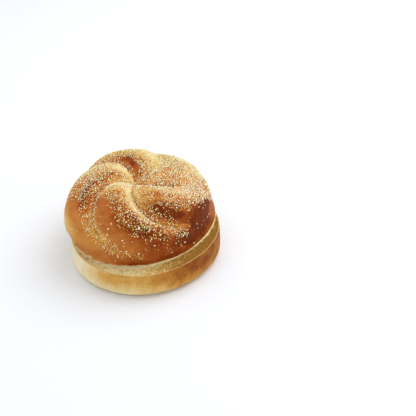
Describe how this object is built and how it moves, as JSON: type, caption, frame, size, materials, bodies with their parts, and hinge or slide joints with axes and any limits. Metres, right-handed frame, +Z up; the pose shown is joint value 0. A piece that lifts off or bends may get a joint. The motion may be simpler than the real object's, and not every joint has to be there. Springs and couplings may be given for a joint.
{
  "type": "kaiser roll",
  "caption": "Round crusty sandwich roll with a folded swirl on its domed top, dusted with coarse cornmeal and sliced across, the top half resting a little off centre on the bottom half.",
  "frame": {"origin": "on the surface it stands on, under the middle of the whole roll's box", "axes": "+Z up; -Y is the side where the strip of crumb shows between the halves, +Y the side to which the top half has slid; +X right when seen from -Y"},
  "size_m": [0.1124, 0.1306, 0.0605],
  "materials": {
    "crown_crust": "baked golden-brown crust, matt with a slight satin, dusted with meal",
    "heel_crust": "thin pale crust, matt, golden at the cut and cream at the bottom"
  },
  "bodies": {
    "root": {"crown": "crown_crust", "heel": "heel_crust"}
  },
  "joints": []
}
